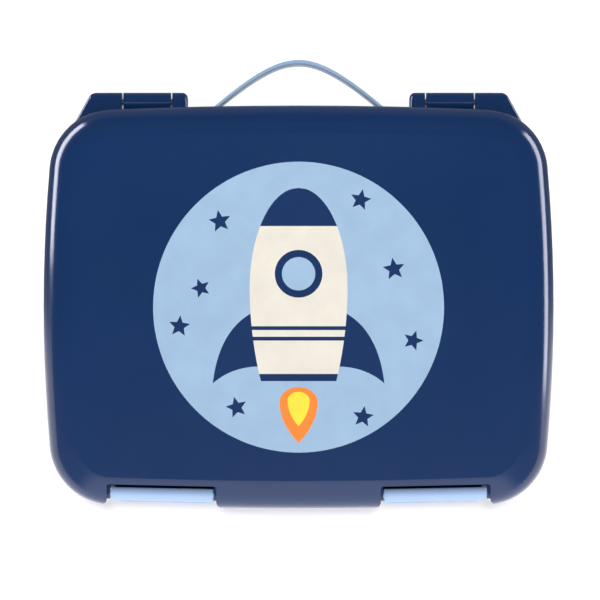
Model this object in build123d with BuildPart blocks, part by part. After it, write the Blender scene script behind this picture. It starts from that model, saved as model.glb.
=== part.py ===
from build123d import *
import math
import os

os.makedirs("parts", exist_ok=True)

# Child's bento lunch box, lying flat with the lid up. Sizes in mm.
# +X to the right, +Y to the hinges and the strap, +Z up, origin under the middle of the base.

# Case outline: a rounded rectangle with gently bulged sides.
HALF_WIDTH = 108.0
HALF_DEPTH = 85.4
SIDE_BULGE = 694.0
END_BULGE = 2005.0
CORNER_RADIUS = 27.0

# Heights.
CASE_HEIGHT = 58.0
FOOT_HEIGHT = 0.8
FLOOR_TOP = 2.4
NECK_BOTTOM = 29.0
BASE_WALL_TOP = 33.0
LID_BOTTOM = 33.5
RIM_TOP = 38.0

# Walls, as distances in from the case outline.
BASE_INSET = 0.8
BASE_WALL = 2.2
BASE_DRAFT = 1.2
BASE_EDGE_FILLET = 7.0
RIM_OUTER = 2.6
RIM_INNER = 4.6
LID_WALL = 2.2
LID_TOP = 2.4
LID_EDGE_FILLET = 12.5
FOOT_INSET = 15.0

# Latch recesses in the front edge. Each one is turned a little to follow the bulged edge.
RECESS_X = 57.5
RECESS_Y = -74.8
RECESS_WIDTH = 46.0
RECESS_TURN = 1.2
RECESS_CORNER = 3.0
PIVOT_WALL = 4.0
PIVOT_Y = -4.3
PIVOT_HEIGHT = 50.0
PIVOT_RADIUS = 1.2
PIVOT_HOLE = 1.25
CHEEK_RADIUS = 2.3
CHEEK_THICKNESS = 1.1

# Latches, in the frame of their recess.
LATCH_WIDTH = 43.0
LATCH_BARREL = 2.75
LATCH_PLATE = 2.6
LATCH_BOTTOM = 19.0
LATCH_CORNER = 4.0
LATCH_LIP = 2.8
HOOK_BOTTOM = 23.2
HOOK_TOP = 25.7
HOOK_REACH = -2.0
CATCH_BOTTOM = 26.0
CATCH_TOP = 28.5
CATCH_REACH = -3.55
CATCH_WIDTH = 46.4

# Hinges.
HINGE_Y = 87.7
HINGE_Z = 33.0
HINGE_RADIUS = 4.0
HINGE_RELIEF = 4.45
INNER_EAR = (47.4, 54.0)
BARREL = (54.6, 74.9)
OUTER_EAR = (75.5, 88.5)
EAR_WING = 95.3
EAR_WEB = 8.4
EAR_CORNER = 3.6
EAR_EDGE = 1.6
EAR_END = 2.4
PIN_RADIUS = 1.25
PIN_SPAN = (48.5, 86.0)
EAR_HOLE = 1.27
BARREL_BORE = 1.3

# Strap and its pins.
STRAP_PIN_X = 41.2
STRAP_PIN_Y = 81.5
STRAP_RISE = 24.1
STRAP_BOW = 22.0
STRAP_THICKNESS = 2.0
STRAP_BOTTOM = 10.5
STRAP_TOP = 24.5
EYE_RADIUS = 2.6
EYE_HOLE = 1.35
POCKET_BOTTOM = 10.2
POCKET_TOP = 24.8
POCKET_X = (27.5, 44.3)
POCKET_BACK = 78.5
BOSS_X = (24.5, 47.6)
BOSS_BACK = 76.4
BOSS_Z = (5.0, 28.0)
STRAP_PIN_Z = (8.0, 27.2)
STRAP_PIN_HOLE = 1.27

# Food tray: cup name, left, right, front, back, corner radius, depth.
CUP_MAIN = (-95.0, 24.0, -65.0, 18.0, 15.0, 34.0)
CUP_SIDE = (29.0, 95.0, -65.0, 18.0, 15.0, 34.0)
CUP_FRUIT = (-95.0, -22.0, 23.0, 69.0, 15.0, 34.0)
CUP_DIP = (-17.0, 17.0, 23.0, 69.0, 16.0, 20.0)
CUP_VEG = (22.0, 95.0, 23.0, 69.0, 15.0, 34.0)
CUPS = (CUP_MAIN, CUP_SIDE, CUP_FRUIT, CUP_DIP, CUP_VEG)
CUP_WALL = 1.5
CUP_DRAFT = 4.0
TRAY_INSET = 5.1
TRAY_FLANGE = 1.6

# Inside of the lid.
LINER_INSET = 2.6
LINER_BOTTOM = 41.8
LINER_TOP = 43.6
LINER_POSTS = ((-80.0, -40.0), (-80.0, 45.0), (0.0, -66.0), (0.0, 66.0), (80.0, -40.0), (80.0, 45.0))
POST_RADIUS = 3.5
SEAL_BOTTOM = 38.3
GASKET_INNER = 5.8
SEAL_NEAR = 0.6
SEAL_FAR = 3.0

# Printed disc.
LABEL_RADIUS = 61.0
LABEL_GAP = 0.05
LABEL_SEAT = 0.3
LABEL_THICKNESS = 0.25


def case_outline(inset, side_growth=None, back_growth=None, corner=0):
    """Plan shape of the case drawn in by inset; with growths given, the latch recesses are cut out.

    A corner radius rounds the edges of the recesses.
    """
    half_width = HALF_WIDTH - inset
    half_depth = HALF_DEPTH - inset
    x = half_width
    y = half_depth
    for _ in range(30):
        x = math.sqrt((SIDE_BULGE - inset) ** 2 - y**2) + HALF_WIDTH - SIDE_BULGE
        y = math.sqrt((END_BULGE - inset) ** 2 - x**2) + HALF_DEPTH - END_BULGE
    with BuildSketch() as outline:
        with BuildLine():
            ThreePointArc((-x, -y), (0, -half_depth), (x, -y))
            ThreePointArc((x, -y), (half_width, 0), (x, y))
            ThreePointArc((x, y), (0, half_depth), (-x, y))
            ThreePointArc((-x, y), (-half_width, 0), (-x, -y))
        make_face()
        fillet(outline.vertices(), CORNER_RADIUS - inset)
        if side_growth is not None:
            add(recess_plan(side_growth, back_growth), mode=Mode.SUBTRACT)
        if corner > 0:
            near_recess = outline.vertices().filter_by(lambda v: v.Y < RECESS_Y + 3 and abs(v.X) < 84)
            mouth = near_recess.filter_by(lambda v: v.Y < RECESS_Y - 5)
            fillet(mouth, corner)
            inner = outline.vertices().filter_by(lambda v: abs(v.Y - RECESS_Y) < 3 and abs(v.X) < 84)
            fillet(inner, corner / 3)
    return outline.sketch


def recess_frame(side):
    """Location of one latch recess: X along its back wall, Y out of the wall towards the rear."""
    return Location((side * RECESS_X, RECESS_Y, 0), (0, 0, side * RECESS_TURN))


def recess_plane(side):
    """Upright plane across a recess: sketch X is towards the rear, sketch Y is up."""
    turn = math.radians(side * RECESS_TURN)
    return Plane(
        origin=(side * RECESS_X, RECESS_Y, 0),
        x_dir=(-math.sin(turn), math.cos(turn), 0),
        z_dir=(math.cos(turn), math.sin(turn), 0),
    )


def recess_front(side):
    """Upright plane along a recess, seen from the front: sketch X is along it, sketch Y is up."""
    turn = math.radians(side * RECESS_TURN)
    return Plane(
        origin=(side * RECESS_X, RECESS_Y, 0),
        x_dir=(math.cos(turn), math.sin(turn), 0),
        z_dir=(math.sin(turn), -math.cos(turn), 0),
    )


def inboard(shape):
    """Distance of a shape's middle from the middle of the case, for sorting."""
    return abs(shape.center().X)


def is_wing_rim(edge):
    """True for the curved edges and the top edge of an outer hinge ear's far end."""
    middle = edge.center()
    far = abs(middle.X) > OUTER_EAR[1] - 2 and middle.Y > HINGE_Y - 5.7
    return far and (edge.geom_type != GeomType.LINE or middle.Z > HINGE_Z + HINGE_RADIUS - 0.01)


def recess_plan(side_growth, back_growth):
    """Plan shape of both latch recesses, grown sideways and towards the rear."""
    with BuildSketch(mode=Mode.PRIVATE) as plan:
        for side in (-1, 1):
            with Locations(recess_frame(side) * Location((0, back_growth, 0))):
                Rectangle(
                    RECESS_WIDTH + 2 * side_growth,
                    30,
                    align=(Align.CENTER, Align.MAX),
                )
    return plan.sketch


def cup_plan(cup, growth):
    """Plan shape of one tray cup, grown all round."""
    left, right, front, back, radius, depth = cup
    with BuildSketch(mode=Mode.PRIVATE) as plan:
        with Locations(((left + right) / 2, (front + back) / 2)):
            RectangleRounded(
                right - left + 2 * growth,
                back - front + 2 * growth,
                radius + growth,
            )
    return plan.sketch


def strap_point(x, shift):
    """Point on the bowed strap at x, moved outwards by shift square to the strap.

    The bow is a hyperbola: nearly straight legs and a round middle.
    """
    steepness = STRAP_RISE / (math.hypot(STRAP_PIN_X, STRAP_BOW) - STRAP_BOW)
    reach = math.hypot(x, STRAP_BOW)
    y = STRAP_PIN_Y + STRAP_RISE - steepness * (reach - STRAP_BOW)
    slope = -steepness * x / reach
    length = math.hypot(1, slope)
    return (x - shift * slope / length, y + shift / length)


# Outlines used more than once.
full_outline = case_outline(0)
lid_inner_outline = case_outline(LID_WALL)
base_outline = case_outline(BASE_INSET)
base_inner_outline = case_outline(BASE_INSET + BASE_WALL)
rim_outline = case_outline(RIM_OUTER, PIVOT_WALL + 0.4, RIM_OUTER)
neck_outline = case_outline(RIM_INNER, PIVOT_WALL + 2.4, RIM_INNER)
tray_outline = case_outline(TRAY_INSET, PIVOT_WALL + 2.9, TRAY_INSET)
liner_outline = case_outline(LINER_INSET, PIVOT_WALL + 0.4, LINER_INSET)
gasket_outline = case_outline(LINER_INSET + 0.2, PIVOT_WALL + 0.6, LINER_INSET + 0.2)
gasket_hole = case_outline(GASKET_INNER, PIVOT_WALL + 4.0, GASKET_INNER)
foot_outline = case_outline(FOOT_INSET)
web_outline = case_outline(1.2)
lid_plan = case_outline(-0.02, 0, 0, RECESS_CORNER)
base_plan = case_outline(BASE_INSET, BASE_INSET, BASE_INSET, RECESS_CORNER)
lid_recess_walls = recess_plan(PIVOT_WALL, LID_WALL)
base_recess_walls = recess_plan(BASE_INSET + BASE_WALL, BASE_INSET + BASE_WALL)


# Hollow of the base below the neck.
with BuildPart() as base_hollow:
    with BuildSketch(Plane.XY.offset(NECK_BOTTOM)):
        add(base_inner_outline)
    extrude(amount=-(NECK_BOTTOM - FLOOR_TOP), taper=BASE_DRAFT)
    fillet(base_hollow.edges().group_by(Axis.Z)[0], BASE_EDGE_FILLET - BASE_WALL)
    with BuildSketch():
        add(base_recess_walls)
    extrude(amount=NECK_BOTTOM + 1, mode=Mode.SUBTRACT)
    for side in (-1, 1):
        with BuildSketch(Plane.XY.offset(BOSS_Z[0])):
            with Locations((side * (BOSS_X[0] + BOSS_X[1]) / 2, BOSS_BACK)):
                Rectangle(BOSS_X[1] - BOSS_X[0], 20, align=(Align.CENTER, Align.MIN))
        extrude(amount=BOSS_Z[1] - BOSS_Z[0], mode=Mode.SUBTRACT)


# Lower case.
with BuildPart() as base_shell:
    with BuildSketch(Plane.XY.offset(BASE_WALL_TOP)):
        add(base_outline)
    extrude(amount=-(BASE_WALL_TOP - FOOT_HEIGHT), taper=BASE_DRAFT)
    fillet(base_shell.edges().group_by(Axis.Z)[0], BASE_EDGE_FILLET)
    with BuildSketch():
        add(foot_outline)
    extrude(amount=FOOT_HEIGHT + 0.5)
    with BuildSketch(Plane.XY.offset(-1)):
        add(base_plan)
    extrude(amount=BASE_WALL_TOP + 2, mode=Mode.INTERSECT)
    with BuildSketch(Plane.XY.offset(BASE_WALL_TOP - 0.5)):
        add(rim_outline)
    extrude(amount=RIM_TOP - BASE_WALL_TOP + 0.5)
    with BuildSketch(Plane.XY.offset(NECK_BOTTOM - 0.01)):
        add(neck_outline)
    extrude(amount=RIM_TOP - NECK_BOTTOM + 1, mode=Mode.SUBTRACT)
    add(base_hollow.part, mode=Mode.SUBTRACT)
    # Catch ledges for the latches.
    for side in (-1, 1):
        with BuildSketch(recess_plane(side)):
            with BuildLine():
                Polyline(
                    (BASE_INSET + 0.5, CATCH_BOTTOM),
                    (CATCH_REACH, CATCH_BOTTOM),
                    (CATCH_REACH, CATCH_TOP - 1.2),
                    (CATCH_REACH + 1.2, CATCH_TOP),
                    (BASE_INSET + 0.5, CATCH_TOP),
                    close=True,
                )
            make_face()
        extrude(amount=CATCH_WIDTH / 2, both=True)
    # Hinge barrels on brackets.
    for side in (-1, 1):
        barrel_middle = side * (BARREL[0] + BARREL[1]) / 2
        with BuildSketch(Plane.YZ.offset(barrel_middle)):
            with BuildLine():
                Polyline(
                    (HINGE_Y - 4.8, HINGE_Z - 16),
                    (HINGE_Y - 3.6, HINGE_Z - 16),
                    (HINGE_Y + 3.65, HINGE_Z - 1.6),
                    (HINGE_Y, HINGE_Z),
                    (HINGE_Y - 4.8, HINGE_Z),
                    close=True,
                )
            make_face()
            with Locations((HINGE_Y, HINGE_Z)):
                Circle(HINGE_RADIUS)
        extrude(amount=(BARREL[1] - BARREL[0]) / 2, both=True)
        with BuildSketch(Plane.YZ.offset(barrel_middle)):
            with Locations((HINGE_Y, HINGE_Z)):
                Circle(BARREL_BORE)
        extrude(amount=(BARREL[1] - BARREL[0]) / 2 + 1, both=True, mode=Mode.SUBTRACT)
        for ear in (INNER_EAR, OUTER_EAR):
            with BuildSketch(Plane.YZ.offset(side * (ear[0] + ear[1]) / 2)):
                with Locations((HINGE_Y, HINGE_Z)):
                    Circle(HINGE_RELIEF)
            extrude(amount=(ear[1] - ear[0]) / 2 + 0.5, both=True, mode=Mode.SUBTRACT)
    # Pockets and pin holes for the strap ends.
    for side in (-1, 1):
        with BuildSketch(Plane.XY.offset(POCKET_BOTTOM)):
            with Locations((side * (POCKET_X[0] + POCKET_X[1]) / 2, POCKET_BACK)):
                Rectangle(POCKET_X[1] - POCKET_X[0], 20, align=(Align.CENTER, Align.MIN))
        extrude(amount=POCKET_TOP - POCKET_BOTTOM, mode=Mode.SUBTRACT)
        with BuildSketch(Plane.XY.offset(STRAP_PIN_Z[0])):
            with Locations((side * STRAP_PIN_X, STRAP_PIN_Y)):
                Circle(STRAP_PIN_HOLE)
        extrude(amount=BOSS_Z[1] - STRAP_PIN_Z[0] + 0.8, mode=Mode.SUBTRACT)
base_shell.part.label = "base_shell"
export_step(base_shell.part, "parts/base_shell.step")


# Food tray.
with BuildPart() as compartment_tray:
    with BuildSketch(Plane.XY.offset(RIM_TOP - TRAY_FLANGE)):
        add(tray_outline)
    extrude(amount=TRAY_FLANGE)
    for cup in CUPS:
        with BuildSketch(Plane.XY.offset(RIM_TOP)):
            add(cup_plan(cup, CUP_WALL))
        extrude(amount=-(cup[5] + CUP_WALL), taper=CUP_DRAFT)
    for cup in CUPS:
        with BuildSketch(Plane.XY.offset(RIM_TOP)):
            add(cup_plan(cup, 0))
        extrude(amount=-cup[5], taper=CUP_DRAFT, mode=Mode.SUBTRACT)
compartment_tray.part.label = "compartment_tray"
export_step(compartment_tray.part, "parts/compartment_tray.step")


# Hollow of the lid.
with BuildPart() as lid_hollow:
    with BuildSketch(Plane.XY.offset(LID_BOTTOM - 1)):
        add(lid_inner_outline)
    extrude(amount=CASE_HEIGHT - LID_TOP - LID_BOTTOM + 1)
    fillet(lid_hollow.edges().group_by(Axis.Z)[-1], LID_EDGE_FILLET - LID_WALL)
    with BuildSketch(Plane.XY.offset(LID_BOTTOM - 2)):
        add(lid_recess_walls)
    extrude(amount=CASE_HEIGHT, mode=Mode.SUBTRACT)


# Hinge ears of the lid: each is a round knuckle behind a flat web.
hinge_ears = []
for side in (-1, 1):
    with BuildPart() as knuckle:
        with BuildSketch(Plane.YZ.offset(side * INNER_EAR[0])):
            with Locations((HINGE_Y, HINGE_Z)):
                Circle(HINGE_RADIUS)
        extrude(amount=side * (INNER_EAR[1] - INNER_EAR[0]))
        fillet(knuckle.edges().filter_by(GeomType.CIRCLE).sort_by(inboard)[0], EAR_END)
    with BuildPart() as inner_ear:
        with BuildSketch(Plane.XY.offset(LID_BOTTOM)):
            with Locations((side * (INNER_EAR[0] + INNER_EAR[1]) / 2, HINGE_Y)):
                Rectangle(INNER_EAR[1] - INNER_EAR[0], EAR_WEB, align=(Align.CENTER, Align.MAX))
        extrude(amount=HINGE_Z + HINGE_RADIUS - LID_BOTTOM)
        top_edges = inner_ear.edges().filter_by(Axis.Y).group_by(Axis.Z)[-1]
        fillet(top_edges.sort_by(inboard)[0], EAR_END)
        add(knuckle.part)
        with BuildSketch():
            add(web_outline)
        extrude(amount=CASE_HEIGHT, mode=Mode.SUBTRACT)
    with BuildPart() as outer_ear:
        with BuildSketch(Plane.YZ):
            with Locations((HINGE_Y, HINGE_Z)):
                Circle(HINGE_RADIUS)
            with Locations((HINGE_Y, LID_BOTTOM)):
                Rectangle(
                    EAR_WEB,
                    HINGE_Z + HINGE_RADIUS - LID_BOTTOM,
                    align=(Align.MAX, Align.MIN),
                )
        extrude(amount=side * 100)
        with BuildSketch() as wing_plan:
            with BuildLine():
                Polyline(
                    (side * OUTER_EAR[0], HINGE_Y + HINGE_RADIUS),
                    (side * OUTER_EAR[1], HINGE_Y + HINGE_RADIUS),
                    (side * EAR_WING, HINGE_Y - EAR_WEB),
                    (side * OUTER_EAR[0], HINGE_Y - EAR_WEB),
                    close=True,
                )
            make_face()
            fillet(wing_plan.vertices().group_by(Axis.Y)[-1].sort_by(inboard)[-1], EAR_CORNER)
            add(web_outline, mode=Mode.SUBTRACT)
        extrude(amount=CASE_HEIGHT, mode=Mode.INTERSECT)
        fillet(outer_ear.edges().filter_by(is_wing_rim), EAR_EDGE)
    hinge_ears += [inner_ear.part, outer_ear.part]


# Upper case.
with BuildPart() as lid_shell:
    with BuildSketch(Plane.XY.offset(LID_BOTTOM)):
        add(full_outline)
    extrude(amount=CASE_HEIGHT - LID_BOTTOM)
    fillet(lid_shell.edges().group_by(Axis.Z)[-1], LID_EDGE_FILLET)
    with BuildSketch(Plane.XY.offset(LID_BOTTOM - 1)):
        with Locations((-RECESS_X, RECESS_Y), (RECESS_X, RECESS_Y)):
            Rectangle(RECESS_WIDTH + 14, 30)
        add(lid_plan, mode=Mode.SUBTRACT)
    extrude(amount=CASE_HEIGHT, mode=Mode.SUBTRACT)
    add(lid_hollow.part, mode=Mode.SUBTRACT)
    # Seat for the printed disc.
    with BuildSketch(Plane.XY.offset(CASE_HEIGHT)):
        Circle(LABEL_RADIUS + LABEL_GAP)
    extrude(amount=-LABEL_SEAT, mode=Mode.SUBTRACT)
    # Posts that carry the liner.
    with BuildSketch(Plane.XY.offset(LINER_TOP)):
        with Locations(*LINER_POSTS):
            Circle(POST_RADIUS)
    extrude(amount=CASE_HEIGHT - LID_TOP - LINER_TOP + 0.5)
    # Cheeks that carry the latch pivots, one at each end of a recess.
    for side in (-1, 1):
        for end in (-1, 1):
            cheek_face = recess_plane(side).offset(end * (RECESS_WIDTH / 2 - CHEEK_THICKNESS))
            with BuildSketch(cheek_face):
                with Locations((PIVOT_Y, PIVOT_HEIGHT)):
                    Circle(CHEEK_RADIUS)
                    Rectangle(0.5 - PIVOT_Y, 2 * CHEEK_RADIUS, align=(Align.MIN, Align.CENTER))
            extrude(amount=end * (CHEEK_THICKNESS + 0.5))
    # Blind holes for the latch pivots.
    for side in (-1, 1):
        with BuildSketch(recess_plane(side)):
            with Locations((PIVOT_Y, PIVOT_HEIGHT)):
                Circle(PIVOT_HOLE)
        extrude(amount=RECESS_WIDTH / 2 + 2.5, both=True, mode=Mode.SUBTRACT)
    # Hinge ears with webs back to the skirt.
    for ear_part in hinge_ears:
        add(ear_part)
    for side in (-1, 1):
        # Pin hole: through the inner ear, blind in the outer one.
        with BuildSketch(Plane.YZ.offset(side * 45.0)):
            with Locations((HINGE_Y, HINGE_Z)):
                Circle(EAR_HOLE)
        extrude(amount=side * (PIN_SPAN[1] + 0.4 - 45.0), mode=Mode.SUBTRACT)
        # Room for the base barrel.
        with BuildSketch(Plane.XY.offset(LID_BOTTOM - 1)):
            with Locations((side * (BARREL[0] + BARREL[1]) / 2, HINGE_Y)):
                Rectangle(BARREL[1] - BARREL[0] + 1.0, 11.0)
        extrude(amount=HINGE_Z + HINGE_RADIUS + 0.8 - LID_BOTTOM + 1, mode=Mode.SUBTRACT)
lid_shell.part.label = "lid_shell"
export_step(lid_shell.part, "parts/lid_shell.step")


# Printed disc.
with BuildPart() as lid_label:
    with BuildSketch(Plane.XY.offset(CASE_HEIGHT - LABEL_SEAT)):
        Circle(LABEL_RADIUS)
    extrude(amount=LABEL_THICKNESS)
lid_label.part.label = "lid_label"
export_step(lid_label.part, "parts/lid_label.step")


# Inner panel of the lid.
with BuildPart() as lid_liner:
    with BuildSketch(Plane.XY.offset(LINER_BOTTOM)):
        add(liner_outline)
    extrude(amount=LINER_TOP - LINER_BOTTOM)
lid_liner.part.label = "lid_liner"
export_step(lid_liner.part, "parts/lid_liner.step")


# Soft ring over the base rim.
with BuildPart() as rim_gasket:
    with BuildSketch(Plane.XY.offset(SEAL_BOTTOM)):
        add(gasket_outline)
        add(gasket_hole, mode=Mode.SUBTRACT)
    extrude(amount=LINER_BOTTOM - SEAL_BOTTOM)
rim_gasket.part.label = "rim_gasket"
export_step(rim_gasket.part, "parts/rim_gasket.step")


# Soft frames over the tray dividers.
with BuildPart() as divider_seal:
    with BuildSketch(Plane.XY.offset(SEAL_BOTTOM)):
        for cup in CUPS:
            add(cup_plan(cup, SEAL_FAR))
        for cup in CUPS:
            add(cup_plan(cup, SEAL_NEAR), mode=Mode.SUBTRACT)
    extrude(amount=LINER_BOTTOM - SEAL_BOTTOM)
divider_seal.part.label = "divider_seal"
export_step(divider_seal.part, "parts/divider_seal.step")


# Latches.
for side, name in ((-1, "latch_left"), (1, "latch_right")):
    with BuildPart() as latch:
        plate_front = PIVOT_Y - LATCH_BARREL
        with BuildSketch(recess_plane(side)):
            with Locations((PIVOT_Y, PIVOT_HEIGHT)):
                Circle(LATCH_BARREL)
            with BuildLine():
                Polyline(
                    (plate_front, PIVOT_HEIGHT),
                    (plate_front, LATCH_BOTTOM + 4.5),
                    (plate_front - LATCH_LIP, LATCH_BOTTOM),
                    (plate_front - LATCH_LIP + 2.4, LATCH_BOTTOM),
                    (plate_front + LATCH_PLATE, LATCH_BOTTOM + 4.2),
                    (HOOK_REACH, HOOK_BOTTOM + 0.9),
                    (HOOK_REACH, HOOK_TOP),
                    (plate_front + LATCH_PLATE, HOOK_TOP),
                    (plate_front + LATCH_PLATE, PIVOT_HEIGHT),
                    close=True,
                )
            make_face()
        extrude(amount=LATCH_WIDTH / 2, both=True)
        with BuildSketch(recess_front(side)) as front_view:
            with Locations((0, LATCH_BOTTOM)):
                Rectangle(LATCH_WIDTH, PIVOT_HEIGHT, align=(Align.CENTER, Align.MIN))
            fillet(front_view.vertices().group_by(Axis.Y)[0], LATCH_CORNER)
        extrude(amount=20, both=True, mode=Mode.INTERSECT)
        with BuildSketch(recess_plane(side)):
            with Locations((PIVOT_Y, PIVOT_HEIGHT)):
                Circle(PIVOT_RADIUS)
        extrude(amount=RECESS_WIDTH / 2 + 2.2, both=True)
    latch.part.label = name
    export_step(latch.part, "parts/" + name + ".step")


# Hinge pins.
for side, name in ((-1, "hinge_pin_left"), (1, "hinge_pin_right")):
    with BuildPart() as hinge_pin:
        with BuildSketch(Plane.YZ.offset(side * (PIN_SPAN[0] + PIN_SPAN[1]) / 2)):
            with Locations((HINGE_Y, HINGE_Z)):
                Circle(PIN_RADIUS)
        extrude(amount=(PIN_SPAN[1] - PIN_SPAN[0]) / 2, both=True)
        chamfer(hinge_pin.edges(), 0.3)
    hinge_pin.part.label = name
    export_step(hinge_pin.part, "parts/" + name + ".step")


# Carry strap, bowed between its two pins.
with BuildPart() as handle_strap:
    outer_side = []
    inner_side = []
    for step in range(-12, 13):
        x = STRAP_PIN_X * step / 12
        outer_side.append(strap_point(x, STRAP_THICKNESS / 2))
        inner_side.append(strap_point(x, -STRAP_THICKNESS / 2))
    with BuildSketch(Plane.XY.offset(STRAP_BOTTOM)):
        with BuildLine():
            Spline(*outer_side)
            Line(outer_side[-1], inner_side[-1])
            Spline(*inner_side)
            Line(inner_side[0], outer_side[0])
        make_face()
        with Locations((-STRAP_PIN_X, STRAP_PIN_Y), (STRAP_PIN_X, STRAP_PIN_Y)):
            Circle(EYE_RADIUS)
    extrude(amount=STRAP_TOP - STRAP_BOTTOM)
    with BuildSketch(Plane.XY.offset(STRAP_BOTTOM - 1)):
        with Locations((-STRAP_PIN_X, STRAP_PIN_Y), (STRAP_PIN_X, STRAP_PIN_Y)):
            Circle(EYE_HOLE)
    extrude(amount=STRAP_TOP - STRAP_BOTTOM + 2, mode=Mode.SUBTRACT)
handle_strap.part.label = "handle_strap"
export_step(handle_strap.part, "parts/handle_strap.step")


# Strap pins.
for side, name in ((-1, "handle_pin_left"), (1, "handle_pin_right")):
    with BuildPart() as handle_pin:
        with BuildSketch(Plane.XY.offset(STRAP_PIN_Z[0])):
            with Locations((side * STRAP_PIN_X, STRAP_PIN_Y)):
                Circle(PIN_RADIUS)
        extrude(amount=STRAP_PIN_Z[1] - STRAP_PIN_Z[0])
        chamfer(handle_pin.edges(), 0.3)
    handle_pin.part.label = name
    export_step(handle_pin.part, "parts/" + name + ".step")
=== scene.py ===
import math

import bmesh
import bpy
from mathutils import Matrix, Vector


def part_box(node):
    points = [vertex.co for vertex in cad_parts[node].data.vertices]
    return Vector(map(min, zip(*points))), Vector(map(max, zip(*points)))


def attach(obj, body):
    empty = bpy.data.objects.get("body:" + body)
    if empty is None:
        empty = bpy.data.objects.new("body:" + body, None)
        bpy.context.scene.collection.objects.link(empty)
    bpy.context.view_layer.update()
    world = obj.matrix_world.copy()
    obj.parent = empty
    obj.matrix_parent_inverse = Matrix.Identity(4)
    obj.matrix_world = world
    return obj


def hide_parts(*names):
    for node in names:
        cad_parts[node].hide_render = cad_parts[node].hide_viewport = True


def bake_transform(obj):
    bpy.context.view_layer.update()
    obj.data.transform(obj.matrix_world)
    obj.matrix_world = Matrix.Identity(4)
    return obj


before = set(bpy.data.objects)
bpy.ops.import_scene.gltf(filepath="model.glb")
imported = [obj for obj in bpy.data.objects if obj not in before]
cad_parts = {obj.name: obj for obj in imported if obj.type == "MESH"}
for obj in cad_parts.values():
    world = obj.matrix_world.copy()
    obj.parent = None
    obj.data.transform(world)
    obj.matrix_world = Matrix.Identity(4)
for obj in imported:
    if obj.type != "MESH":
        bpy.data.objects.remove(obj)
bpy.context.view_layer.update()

MM = 0.001


def srgb(red, green, blue):
    """Linear colour of an 8-bit sRGB colour."""
    out = []
    for value in (red, green, blue):
        c = value / 255
        out.append(c / 12.92 if c <= 0.04045 else ((c + 0.055) / 1.055) ** 2.4)
    return (*out, 1.0)


# ---------------------------------------------------------------- camera
# Straight above the lid, with the hinges and the strap at the top of the picture.
# The picture is FRAME_WIDTH across at the height of the lid's widest edge.
CAMERA_X = 0.0006
CAMERA_Y = 0.0030
CAMERA_DISTANCE = 1.2
WIDE_PLANE = 0.046
FRAME_WIDTH = 0.2541
SENSOR_MM = 36.0
camera_data = bpy.data.cameras.new("camera")
camera = bpy.data.objects.new("camera", camera_data)
bpy.context.scene.collection.objects.link(camera)
camera.location = (CAMERA_X, CAMERA_Y, WIDE_PLANE + CAMERA_DISTANCE)
camera_data.sensor_width = SENSOR_MM
camera_data.lens = SENSOR_MM * CAMERA_DISTANCE / FRAME_WIDTH
bpy.context.scene.camera = camera
bpy.context.scene.view_settings.view_transform = "Standard"


# ---------------------------------------------------------------- materials
def new_material(name):
    material = bpy.data.materials.new(name)
    material.use_nodes = True
    nodes = material.node_tree.nodes
    shader = nodes["Principled BSDF"]
    return material, nodes, material.node_tree.links, shader


def noise(nodes, links, place, scale, detail=4.0, rough=0.55):
    """Noise in the row's own metres, so it doesn't depend on a piece's size."""
    texture = nodes.new("ShaderNodeTexNoise")
    texture.inputs["Scale"].default_value = scale
    texture.inputs["Detail"].default_value = detail
    texture.inputs["Roughness"].default_value = rough
    links.new(place.outputs["Object"], texture.inputs["Vector"])
    return texture


def ramp(nodes, links, source, stops):
    node = nodes.new("ShaderNodeValToRGB")
    node.color_ramp.elements[0].position = stops[0][0]
    node.color_ramp.elements[0].color = stops[0][1]
    node.color_ramp.elements[1].position = stops[-1][0]
    node.color_ramp.elements[1].color = stops[-1][1]
    for position, color in stops[1:-1]:
        element = node.color_ramp.elements.new(position)
        element.color = color
    links.new(source, node.inputs["Fac"])
    return node


def shade(color, factor):
    return (color[0] * factor, color[1] * factor, color[2] * factor, 1.0)


def gray(value):
    return (value, value, value, 1.0)


def plastic(name, color, roughness, spread=0.08, grain=450.0, bump=0.03, wear=0.05, specular=0.5):
    """Moulded plastic: mottled pigment, uneven gloss and a fine skin."""
    material, nodes, links, shader = new_material(name)
    place = nodes.new("ShaderNodeTexCoord")
    cloud = noise(nodes, links, place, 18.0, 5.0)
    tint = ramp(
        nodes,
        links,
        cloud.outputs["Fac"],
        ((0.3, shade(color, 1 - spread)), (0.7, shade(color, 1 + spread))),
    )
    links.new(tint.outputs["Color"], shader.inputs["Base Color"])
    gloss = noise(nodes, links, place, 60.0, 6.0, 0.6)
    gloss_ramp = ramp(
        nodes,
        links,
        gloss.outputs["Fac"],
        ((0.3, gray(roughness)), (0.72, gray(roughness + wear))),
    )
    links.new(gloss_ramp.outputs["Color"], shader.inputs["Roughness"])
    skin = noise(nodes, links, place, grain, 3.0)
    bump_node = nodes.new("ShaderNodeBump")
    bump_node.inputs["Strength"].default_value = bump
    bump_node.inputs["Distance"].default_value = 0.0004
    links.new(skin.outputs["Fac"], bump_node.inputs["Height"])
    links.new(bump_node.outputs["Normal"], shader.inputs["Normal"])
    shader.inputs["Specular IOR Level"].default_value = specular
    return material


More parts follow.
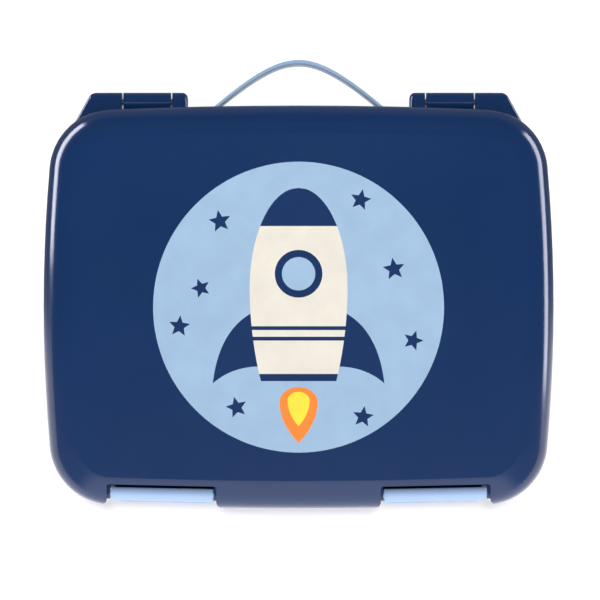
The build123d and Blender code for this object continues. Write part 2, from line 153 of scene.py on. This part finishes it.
def brushed_steel(name):
    material, nodes, links, shader = new_material(name)
    place = nodes.new("ShaderNodeTexCoord")
    stretch = nodes.new("ShaderNodeMapping")
    stretch.inputs["Scale"].default_value = (1.0, 14.0, 14.0)
    links.new(place.outputs["Object"], stretch.inputs["Vector"])
    lines = nodes.new("ShaderNodeTexNoise")
    lines.inputs["Scale"].default_value = 260.0
    lines.inputs["Detail"].default_value = 6.0
    links.new(stretch.outputs["Vector"], lines.inputs["Vector"])
    tint = ramp(nodes, links, lines.outputs["Fac"], ((0.3, gray(0.42)), (0.7, gray(0.62))))
    links.new(tint.outputs["Color"], shader.inputs["Base Color"])
    rough = ramp(nodes, links, lines.outputs["Fac"], ((0.3, gray(0.22)), (0.7, gray(0.38))))
    links.new(rough.outputs["Color"], shader.inputs["Roughness"])
    shader.inputs["Metallic"].default_value = 1.0
    return material


def soft_rubber(name, color, roughness=0.5, clear=0.0):
    """Soft moulded elastomer with a fine matte skin."""
    material, nodes, links, shader = new_material(name)
    place = nodes.new("ShaderNodeTexCoord")
    cloud = noise(nodes, links, place, 30.0, 4.0)
    tint = ramp(
        nodes, links, cloud.outputs["Fac"], ((0.3, shade(color, 0.93)), (0.7, shade(color, 1.06)))
    )
    links.new(tint.outputs["Color"], shader.inputs["Base Color"])
    skin = noise(nodes, links, place, 1400.0, 4.0, 0.7)
    bump_node = nodes.new("ShaderNodeBump")
    bump_node.inputs["Strength"].default_value = 0.12
    bump_node.inputs["Distance"].default_value = 0.0003
    links.new(skin.outputs["Fac"], bump_node.inputs["Height"])
    links.new(bump_node.outputs["Normal"], shader.inputs["Normal"])
    gloss = ramp(
        nodes,
        links,
        skin.outputs["Fac"],
        ((0.35, gray(roughness - 0.06)), (0.65, gray(roughness + 0.08))),
    )
    links.new(gloss.outputs["Color"], shader.inputs["Roughness"])
    shader.inputs["Subsurface Weight"].default_value = clear
    shader.inputs["Subsurface Radius"].default_value = (0.002, 0.003, 0.004)
    return material


def ink(name, color, roughness=0.34):
    """Screen-printed ink: faint mottling and a fine print grain."""
    material, nodes, links, shader = new_material(name)
    place = nodes.new("ShaderNodeTexCoord")
    cloud = noise(nodes, links, place, 90.0, 5.0)
    tint = ramp(
        nodes, links, cloud.outputs["Fac"], ((0.3, shade(color, 0.95)), (0.7, shade(color, 1.04)))
    )
    links.new(tint.outputs["Color"], shader.inputs["Base Color"])
    grain = noise(nodes, links, place, 2600.0, 2.0)
    rough = ramp(
        nodes,
        links,
        grain.outputs["Fac"],
        ((0.35, gray(roughness - 0.04)), (0.65, gray(roughness + 0.06))),
    )
    links.new(rough.outputs["Color"], shader.inputs["Roughness"])
    bump_node = nodes.new("ShaderNodeBump")
    bump_node.inputs["Strength"].default_value = 0.05
    bump_node.inputs["Distance"].default_value = 0.0001
    shader.inputs["Specular IOR Level"].default_value = 0.25
    links.new(grain.outputs["Fac"], bump_node.inputs["Height"])
    links.new(bump_node.outputs["Normal"], shader.inputs["Normal"])
    return material


NAVY = srgb(17, 48, 92)
SKY = srgb(158, 188, 214)
PRINT_NAVY = srgb(22, 50, 94)
CREAM = srgb(229, 225, 210)

navy_plastic = plastic("navy_plastic", NAVY, 0.14, spread=0.05, bump=0.012, wear=0.04)
latch_plastic = plastic(
    "latch_plastic", srgb(173, 200, 236), 0.36, spread=0.03, bump=0.05, specular=0.3
)
tray_plastic = plastic("tray_plastic", srgb(160, 194, 226), 0.16, spread=0.03, bump=0.03)
liner_plastic = plastic("liner_plastic", srgb(206, 218, 230), 0.4, spread=0.02, bump=0.08)
strap_rubber = soft_rubber("strap_rubber", srgb(155, 183, 212), 0.46, 0.05)
seal_rubber = soft_rubber("seal_rubber", srgb(190, 212, 232), 0.34, 0.3)
pin_steel = brushed_steel("pin_steel")
disc_ink = ink("disc_ink", SKY)
navy_ink = ink("navy_ink", PRINT_NAVY)
cream_ink = ink("cream_ink", CREAM)
orange_ink = ink("orange_ink", srgb(255, 140, 60))
yellow_ink = ink("yellow_ink", srgb(255, 225, 70))

# Each CAD piece with its material and its edge radius in mm.
CAD_LOOKS = {
    "base_shell": (navy_plastic, 0.35),
    "lid_shell": (navy_plastic, 1.0),
    "compartment_tray": (tray_plastic, 0.6),
    "lid_liner": (liner_plastic, 0.4),
    "rim_gasket": (seal_rubber, 0.5),
    "divider_seal": (seal_rubber, 0.5),
    "lid_label": (disc_ink, 0.0),
    "latch_left": (latch_plastic, 0.4),
    "latch_right": (latch_plastic, 0.4),
    "hinge_pin_left": (pin_steel, 0.0),
    "hinge_pin_right": (pin_steel, 0.0),
    "handle_pin_left": (pin_steel, 0.0),
    "handle_pin_right": (pin_steel, 0.0),
}


def paint(obj, material):
    obj.data.materials.clear()
    obj.data.materials.append(material)


def soften(obj, width):
    """Small moulded radius on the hard edges."""
    bevel = obj.modifiers.new("edge_radius", "BEVEL")
    bevel.width = width * MM
    bevel.segments = 2
    bevel.limit_method = "ANGLE"
    bevel.angle_limit = math.radians(40)
    bevel.harden_normals = False


for node, (material, radius) in CAD_LOOKS.items():
    cad_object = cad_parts[node]
    paint(cad_object, material)
    if radius > 0:
        soften(cad_object, radius)


# ---------------------------------------------------------------- printed artwork
label_low, label_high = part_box("lid_label")
PRINT_BASE = label_high[2]
INK_SINK = 0.01 * MM
INK_LAYER = 0.012 * MM
CENTER = Vector(((label_low[0] + label_high[0]) / 2, (label_low[1] + label_high[1]) / 2, 0))


def printed(name, outlines, material, layer):
    """Thin ink shape on the disc. Outlines are closed lists of points in mm from the disc's centre."""
    mesh = bmesh.new()
    bottom = PRINT_BASE - INK_SINK
    top = PRINT_BASE + layer * INK_LAYER
    for outline in outlines:
        low = [mesh.verts.new((CENTER.x + x * MM, CENTER.y + y * MM, bottom)) for x, y in outline]
        high = [mesh.verts.new((CENTER.x + x * MM, CENTER.y + y * MM, top)) for x, y in outline]
        mesh.faces.new(high)
        mesh.faces.new(list(reversed(low)))
        count = len(outline)
        for i in range(count):
            j = (i + 1) % count
            mesh.faces.new((low[i], low[j], high[j], high[i]))
    bmesh.ops.recalc_face_normals(mesh, faces=mesh.faces)
    bmesh.ops.triangulate(mesh, faces=[face for face in mesh.faces if len(face.verts) > 4])
    data = bpy.data.meshes.new(name)
    mesh.to_mesh(data)
    mesh.free()
    piece = bpy.data.objects.new(name, data)
    bpy.context.scene.collection.objects.link(piece)
    data.materials.append(material)
    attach(piece, "lid")
    return piece


def arc(cx, cy, rx, ry, start, end, count=32):
    """Points of an ellipse arc, angles in degrees."""
    points = []
    for i in range(count + 1):
        angle = math.radians(start + (end - start) * i / count)
        points.append((cx + rx * math.cos(angle), cy + ry * math.sin(angle)))
    return points


def disc(cx, cy, radius, count=48):
    return arc(cx, cy, radius, radius, 0, 360 - 360 / count, count - 1)


def star(cx, cy, radius, turn, points=5, waist=0.45):
    outline = []
    for i in range(points * 2):
        reach = radius if i % 2 == 0 else radius * waist
        angle = math.radians(90 + turn + 180 * i / points)
        outline.append((cx + reach * math.cos(angle), cy + reach * math.sin(angle)))
    return outline


# A plain rocket: straight-sided hull with round shoulders, separate nose, swept fins.
HULL_HALF = 20.5
HULL_TAPER = 4.0
HULL_FOOT = -28.0
HULL_SHOULDER = 8.0
NOSE_TIP = 50.0
NOSE_LINE = 34.0


def hull_half_width(y):
    """Half width of the hull at height y: parallel at the foot, an ellipse above the shoulder."""
    if y <= HULL_SHOULDER:
        foot = (HULL_SHOULDER - y) / (HULL_SHOULDER - HULL_FOOT)
        return HULL_HALF - HULL_TAPER * foot**2
    share = (y - HULL_SHOULDER) / (NOSE_TIP - HULL_SHOULDER)
    return HULL_HALF * math.sqrt(max(0.0, 1 - share**2))


def hull_slice(low, high, count=40):
    """Outline of the hull between two heights."""
    heights = [low + (high - low) * i / count for i in range(count + 1)]
    right = [(hull_half_width(y), y) for y in heights]
    left = [(-hull_half_width(y), y) for y in reversed(heights)]
    if hull_half_width(high) < 0.01:
        left = left[1:]
    return right + left


def bend(start, control, end, count=20):
    """Smooth curve from start to end that leans towards the control point."""
    points = []
    for i in range(count + 1):
        t = i / count
        a, b, c = (1 - t) ** 2, 2 * t * (1 - t), t**2
        x = a * start[0] + b * control[0] + c * end[0]
        y = a * start[1] + b * control[1] + c * end[1]
        points.append((x, y))
    return points


def mirrored(outline):
    return [(-x, y) for x, y in reversed(outline)]


FIN_TIP = (36.0, -32.0)
fin_outside = bend((14.0, 0.0), (33.0, -6.0), FIN_TIP)
fin_underside = bend(FIN_TIP, (27.0, -24.0), (13.0, -25.0))
fin = fin_outside + fin_underside[1:]
printed("print_fins", [fin, mirrored(fin)], navy_ink, 1)
printed("print_hull", [hull_slice(HULL_FOOT, NOSE_LINE)], cream_ink, 2)
printed("print_nose", [hull_slice(NOSE_LINE, NOSE_TIP)], navy_ink, 2)
printed("print_foot_band", [hull_slice(HULL_FOOT - 3.0, HULL_FOOT)], navy_ink, 2)
printed("print_stripes", [hull_slice(-14.0, -12.4), hull_slice(-9.6, -8.0)], navy_ink, 3)
printed("print_window_rim", [disc(0, 14, 10.0)], navy_ink, 3)
printed("print_window", [disc(0, 14, 7.0)], disc_ink, 4)


def flame(width, top, tip):
    """Round-shouldered flame that narrows to its tip."""
    shoulder = top - width * 0.8
    left = bend((-width, shoulder), (-width, (shoulder + tip) / 2), (0.0, tip))
    return arc(0, shoulder, width, width * 0.8, 0, 180, 24) + left[1:] + mirrored(left)[1:-1]


printed("print_flame_outer", [flame(8.0, -33.5, -57.0)], orange_ink, 1)
printed("print_flame_inner", [flame(4.6, -35.5, -50.0)], yellow_ink, 2)

# Centre x and y, radius and turn in degrees.
STARS = (
    (-33.0, 36.0, 4.8, 10),
    (26.0, 45.0, 4.6, -12),
    (-41.0, 8.0, 4.2, 20),
    (-50.0, -8.0, 4.6, -6),
    (40.0, 16.0, 4.8, 8),
    (48.0, -14.0, 4.4, -18),
    (-26.0, -42.0, 4.6, 14),
    (27.0, -46.0, 4.6, -8),
)
printed("print_stars", [star(*values) for values in STARS], navy_ink, 1)


# ---------------------------------------------------------------- carry strap
strap_low, strap_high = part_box("handle_strap")
pin_low, pin_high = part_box("handle_pin_right")
PIN_X = (pin_low[0] + pin_high[0]) / 2
PIN_Y = (pin_low[1] + pin_high[1]) / 2
MIDDLE_THICKNESS = 2.0 * MM
THINNING = 0.5 * MM
RISE = strap_high[1] - MIDDLE_THICKNESS / 2 - PIN_Y
BOW = 22 * MM
STEEPNESS = RISE / (math.hypot(PIN_X, BOW) - BOW)
STRAP_MID = (strap_low[2] + strap_high[2]) / 2
STRAP_TALL = strap_high[2] - strap_low[2]
EYE_OUTER = 2.55 * MM
EYE_INNER = 1.4 * MM
EDGE_ROUND = 0.8 * MM
BAND_STEPS = 60
EYE_STEPS = 40


def strap_section(thickness, count=6):
    """Rounded section of the strap: across it, then up."""
    radius = min(EDGE_ROUND, thickness / 2 - 0.02 * MM)
    section = []
    for sx, sz, start in ((1, 1, 0), (-1, 1, 90), (-1, -1, 180), (1, -1, 270)):
        for i in range(count):
            angle = math.radians(start + 90 * i / (count - 1))
            across = sx * (thickness / 2 - radius) + radius * math.cos(angle)
            section.append((across, sz * (STRAP_TALL / 2 - radius) + radius * math.sin(angle)))
    return section


def skin(mesh, rings, closed):
    """Faces between rings of vertices; an open run gets flat ends with crisp edges."""
    count = len(rings[0])
    pairs = list(zip(rings, rings[1:]))
    if closed:
        pairs.append((rings[-1], rings[0]))
    for a, b in pairs:
        for i in range(count):
            j = (i + 1) % count
            mesh.faces.new((a[i], a[j], b[j], b[i])).smooth = True
    if not closed:
        for end in (mesh.faces.new(rings[0]), mesh.faces.new(list(reversed(rings[-1])))):
            for edge in end.edges:
                edge.smooth = False


def strap_half(name, side, material):
    """Half of the bowed strap: the eye round its pin, then the band, thickest in the middle."""
    mesh = bmesh.new()
    start = PIN_X - EYE_INNER
    rings = []
    for i in range(BAND_STEPS + 1):
        x = start * (1 - i / BAND_STEPS)
        reach = math.hypot(x, BOW)
        y = PIN_Y + RISE - STEEPNESS * (reach - BOW)
        slope = -STEEPNESS * x / reach
        length = math.hypot(1, slope)
        normal = Vector((-slope / length, 1 / length))
        thickness = MIDDLE_THICKNESS - THINNING * x / PIN_X
        ring = []
        for across, up in strap_section(thickness):
            spot = (side * (x + normal.x * across), y + normal.y * across, STRAP_MID + up)
            ring.append(mesh.verts.new(spot))
        rings.append(ring)
    skin(mesh, rings, closed=False)
    eye_rings = []
    for i in range(EYE_STEPS):
        angle = 2 * math.pi * i / EYE_STEPS
        ring = []
        for across, up in strap_section(EYE_OUTER - EYE_INNER):
            reach = (EYE_OUTER + EYE_INNER) / 2 + across
            x = side * PIN_X + reach * math.cos(angle)
            ring.append(mesh.verts.new((x, PIN_Y + reach * math.sin(angle), STRAP_MID + up)))
        eye_rings.append(ring)
    skin(mesh, eye_rings, closed=True)
    bmesh.ops.recalc_face_normals(mesh, faces=mesh.faces)
    data = bpy.data.meshes.new(name)
    mesh.to_mesh(data)
    mesh.free()
    piece = bpy.data.objects.new(name, data)
    bpy.context.scene.collection.objects.link(piece)
    data.materials.append(material)
    piece.visible_shadow = False
    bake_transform(piece)
    return piece


strap_half("strap_half_left", -1, strap_rubber)
right_half = strap_half("strap_half_right", 1, strap_rubber)
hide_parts("handle_strap")


# ---------------------------------------------------------------- floor and light
floor_mesh = bpy.data.meshes.new("floor")
floor_edit = bmesh.new()
FLOOR_HALF = 3.0
FLOOR_GLOW = 0.3
CORNERS = ((-1, -1), (1, -1), (1, 1), (-1, 1))
corners = [floor_edit.verts.new((x * FLOOR_HALF, y * FLOOR_HALF, 0)) for x, y in CORNERS]
floor_edit.faces.new(corners)
floor_edit.to_mesh(floor_mesh)
floor_edit.free()
floor = bpy.data.objects.new("floor", floor_mesh)
bpy.context.scene.collection.objects.link(floor)
floor_material, _, _, floor_shader = new_material("floor_white")
floor_shader.inputs["Base Color"].default_value = (0.9, 0.9, 0.9, 1.0)
floor_shader.inputs["Roughness"].default_value = 0.7
floor_shader.inputs["Specular IOR Level"].default_value = 0.1
floor_shader.inputs["Emission Color"].default_value = (1.0, 1.0, 1.0, 1.0)
floor_shader.inputs["Emission Strength"].default_value = FLOOR_GLOW
floor_mesh.materials.append(floor_material)
floor.visible_glossy = False


def area_light(name, location, target, size_x, size_y, power):
    data = bpy.data.lights.new(name, "AREA")
    data.shape = "RECTANGLE"
    data.size = size_x
    data.size_y = size_y
    data.energy = power
    light = bpy.data.objects.new(name, data)
    bpy.context.scene.collection.objects.link(light)
    light.location = location
    direction = Vector(target) - Vector(location)
    light.rotation_euler = direction.to_track_quat("-Z", "Y").to_euler()
    light.visible_camera = False
    return light


fill = area_light("fill_rear", (0.0, 0.9, 1.1), (0, 0, 0.03), 1.2, 0.6, 5.5)
fill.visible_glossy = False
# Two low lights at the sides, seen only as the long highlights on the lid's side edges.
STRIP_COLOR = (0.88, 0.89, 1.0)
for strip in (
    area_light("strip_left", (-0.576, 0.328, 0.018), (-0.09, 0.07, 0.018), 0.635, 0.205, 6.0),
    area_light("strip_right", (0.617, 0.206, 0.018), (0.09, 0.05, 0.018), 0.597, 0.205, 4.0),
):
    strip.visible_diffuse = False
    strip.data.color = STRIP_COLOR

# Overhead key, a little behind the box, so the shadow falls just in front of the latches.
SUN_TILT = 7.5
sun_data = bpy.data.lights.new("key_overhead", "SUN")
sun_data.energy = 1.6
sun_data.angle = math.radians(7)
sun = bpy.data.objects.new("key_overhead", sun_data)
bpy.context.scene.collection.objects.link(sun)
sun.rotation_euler = (math.radians(-SUN_TILT), 0, 0)
sun.visible_glossy = False

# The studio round the table: dark overhead, a bright wall in front, paler towards the horizon.
world = bpy.data.worlds.new("studio")
bpy.context.scene.world = world
world.use_nodes = True
world_nodes = world.node_tree.nodes
world_links = world.node_tree.links
background = world_nodes["Background"]


def math_node(operation, first, second):
    node = world_nodes.new("ShaderNodeMath")
    node.operation = operation
    for socket, value in zip(node.inputs, (first, second)):
        if isinstance(value, (int, float)):
            socket.default_value = value
        else:
            world_links.new(value, socket)
    return node.outputs[0]


def map_range(source, low, high, to_low, to_high):
    node = world_nodes.new("ShaderNodeMapRange")
    node.inputs["From Min"].default_value = low
    node.inputs["From Max"].default_value = high
    node.inputs["To Min"].default_value = to_low
    node.inputs["To Max"].default_value = to_high
    world_links.new(source, node.inputs["Value"])
    return node.outputs["Result"]


WALL_BRIGHTNESS = 1.65
place = world_nodes.new("ShaderNodeTexCoord")
split = world_nodes.new("ShaderNodeSeparateXYZ")
world_links.new(place.outputs["Generated"], split.inputs["Vector"])
towards_front = math_node("MULTIPLY", split.outputs["Y"], -1.0)
x_squared = math_node("MULTIPLY", split.outputs["X"], split.outputs["X"])
y_squared = math_node("MULTIPLY", split.outputs["Y"], split.outputs["Y"])
level = math_node("POWER", math_node("ADD", x_squared, y_squared), 0.5)
heading = math_node("DIVIDE", towards_front, math_node("MAXIMUM", level, 0.001))
wall = math_node(
    "MULTIPLY",
    map_range(towards_front, 0.115, 0.135, 0.0, 1.0),
    map_range(heading, 0.7, 0.9, 0.0, WALL_BRIGHTNESS),
)
ceiling = map_range(towards_front, 0.02, 0.11, 0.10, 0.40)
above = map_range(split.outputs["Z"], -0.02, 0.02, 0.0, 1.0)
below = map_range(split.outputs["Z"], -0.02, 0.02, 1.0, 0.0)
table = math_node("MULTIPLY", map_range(towards_front, 0.0, 0.05, 0.22, WALL_BRIGHTNESS), below)
glow = math_node("ADD", math_node("MULTIPLY", math_node("MAXIMUM", wall, ceiling), above), table)
world_links.new(glow, background.inputs["Strength"])
background.inputs["Color"].default_value = (1.0, 0.97, 1.04, 1.0)
